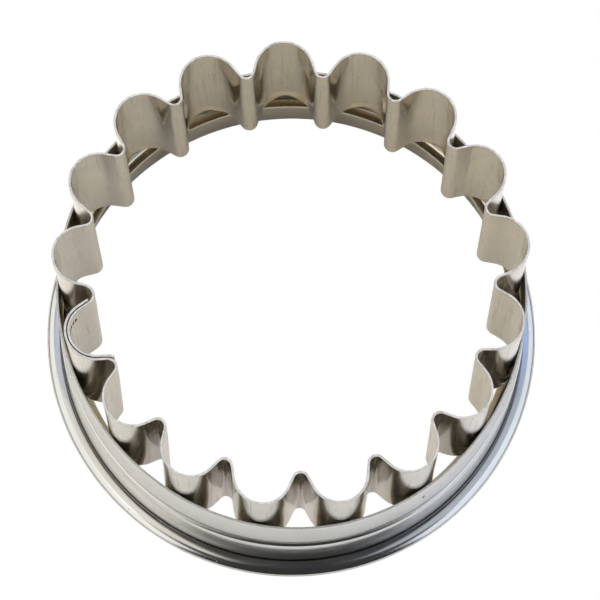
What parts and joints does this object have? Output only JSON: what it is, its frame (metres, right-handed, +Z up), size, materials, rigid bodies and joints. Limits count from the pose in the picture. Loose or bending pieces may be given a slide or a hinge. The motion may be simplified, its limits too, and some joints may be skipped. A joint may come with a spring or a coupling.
{
  "type": "fluted cookie cutter",
  "caption": "Round fluted steel cookie cutter: a crinkled blade ring welded into a plain collar with a rolled groove and a rolled bead to press on.",
  "frame": {"origin": "middle of the ring that the cutter stands on, under its bead", "axes": "+Z up along the cutter's axis, from the bead to the cutting edge; +Y through the middle of one lobe of the blade"},
  "size_m": [0.0648, 0.0648, 0.0395],
  "materials": {
    "collar_steel": "polished",
    "blade_steel": "rolled",
    "weld": "burnt"
  },
  "bodies": {
    "root": {"collar": "collar_steel", "fluted_blade": "blade_steel", "lap_weld": "weld", "tack_weld_1": "weld", "tack_weld_2": "weld", "tack_weld_3": "weld"}
  },
  "joints": []
}
